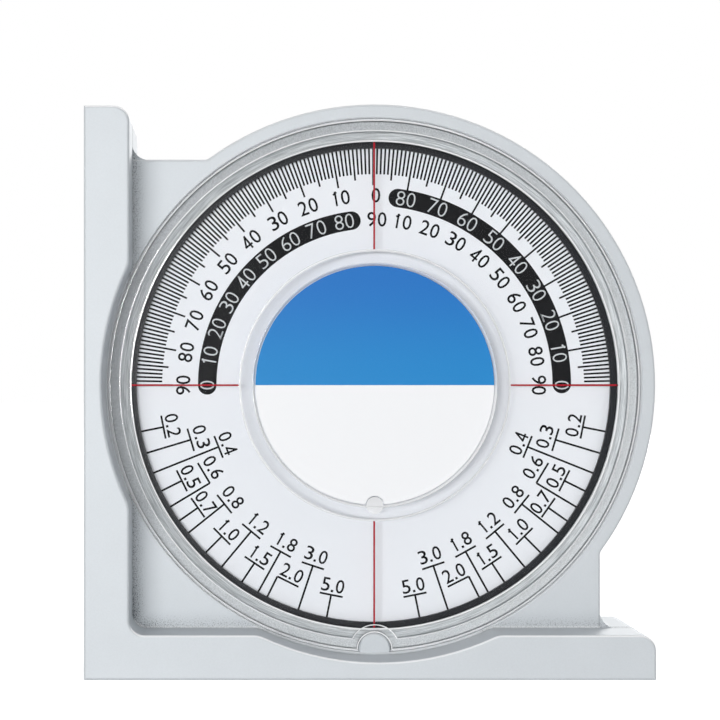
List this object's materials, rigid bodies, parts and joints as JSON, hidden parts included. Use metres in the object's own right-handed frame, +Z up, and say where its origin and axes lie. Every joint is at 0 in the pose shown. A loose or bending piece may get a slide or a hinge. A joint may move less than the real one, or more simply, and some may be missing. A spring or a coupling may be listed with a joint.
{
  "type": "magnetic-base inclinometer",
  "caption": "Magnetic-base angle finder: L-shaped frame with V-grooved base and side, and a round housing with a weighted free-swinging dial behind a stepped clear lens.",
  "frame": {"origin": "centre of the whole object's footprint at the base's bottom face", "axes": "+Z up, the dial faces -Y, +X to the right seen from the front; the magnetic side face looks towards -X"},
  "size_m": [0.1052, 0.027, 0.1052],
  "materials": {
    "frame": "satin",
    "lens": "gloss",
    "line": "gloss",
    "label": "satin",
    "dial": "satin",
    "seal": "gloss",
    "steel": "satin",
    "bronze": "satin",
    "weight": "matte",
    "hub": "satin",
    "magnet": "matte",
    "cover": "satin"
  },
  "bodies": {
    "frame": {"frame_body": "frame", "base_magnets": "magnet", "base_keepers": "steel", "side_magnets": "magnet", "side_keepers": "steel", "rear_cover": "cover", "cover_screws": "steel", "pivot_pin": "steel", "front_washer": "steel", "rear_washer": "steel", "pin_clip": "steel", "seal_ring": "seal", "lens": "lens", "index_lines": "line", "label_disc": "label"},
    "dial": {"dial_disc": "dial", "dial_hub": "hub", "front_bush": "bronze", "rear_bush": "bronze", "hub_ring": "hub", "counterweight": "weight", "weight_rivets": "steel"}
  },
  "joints": [
    {"name": "dial_swing", "type": "hinge", "parent": "frame", "child": "dial", "pos_m": [0.0005, 0, 0.0531], "axis": [0, 1, 0], "continuous": true}
  ]
}
